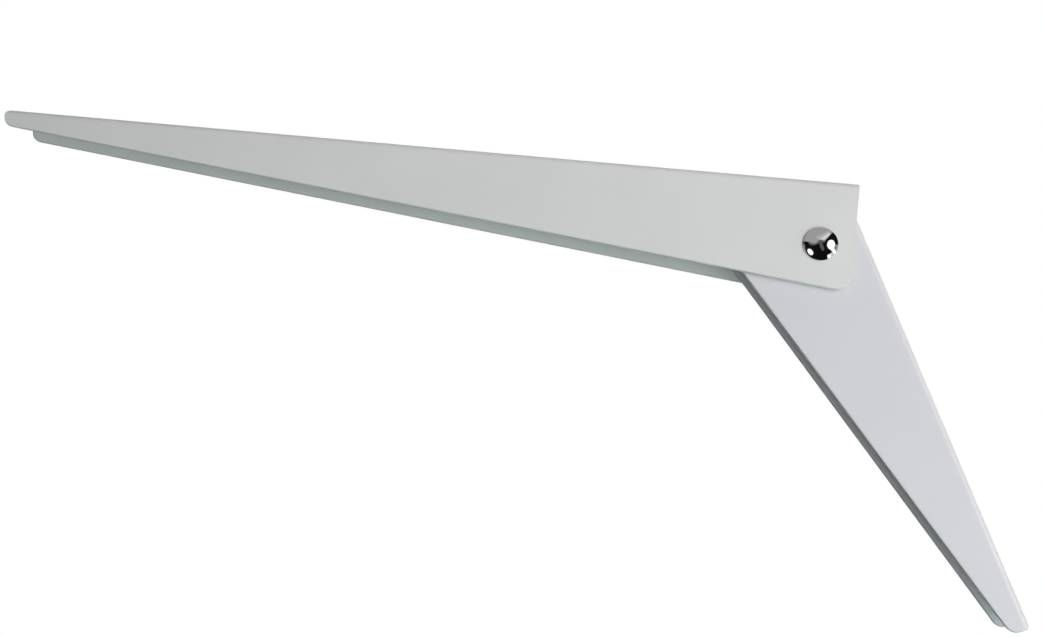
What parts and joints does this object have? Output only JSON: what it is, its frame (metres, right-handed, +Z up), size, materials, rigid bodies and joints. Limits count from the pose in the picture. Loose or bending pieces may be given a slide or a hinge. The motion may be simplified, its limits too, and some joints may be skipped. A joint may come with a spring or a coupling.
{
  "type": "folding shelf bracket",
  "caption": "Folding shelf bracket of two tapered channels, one nested in the other, swinging on a domed rivet from a right angle to a straight line.",
  "frame": {"origin": "on the long arm's shelf-bearing face, at mid width, straight above the rivet's axis", "axes": "+Z up, out of the shelf-bearing face; -X along the long arm towards its tip; the rivet's axis is along Y, with its dome towards -Y"},
  "size_m": [0.4111, 0.0251, 0.1463],
  "materials": {
    "enamel": "smooth satin powder coat, pale grey",
    "rivet": "polished",
    "sleeve": "zinc plated, drawn",
    "washer": "moulded nylon"
  },
  "bodies": {
    "long_arm": {"long_arm": "enamel", "pivot_rivet": "rivet", "washer_front": "washer", "washer_rear": "washer"},
    "short_arm": {"short_arm": "enamel", "spacer_sleeve": "sleeve"}
  },
  "joints": [
    {"name": "fold", "type": "hinge", "parent": "long_arm", "child": "short_arm", "pos_m": [0, 0, -0.0237], "axis": [0, -1, 0], "range_deg": [-26.6, 63.4]}
  ]
}
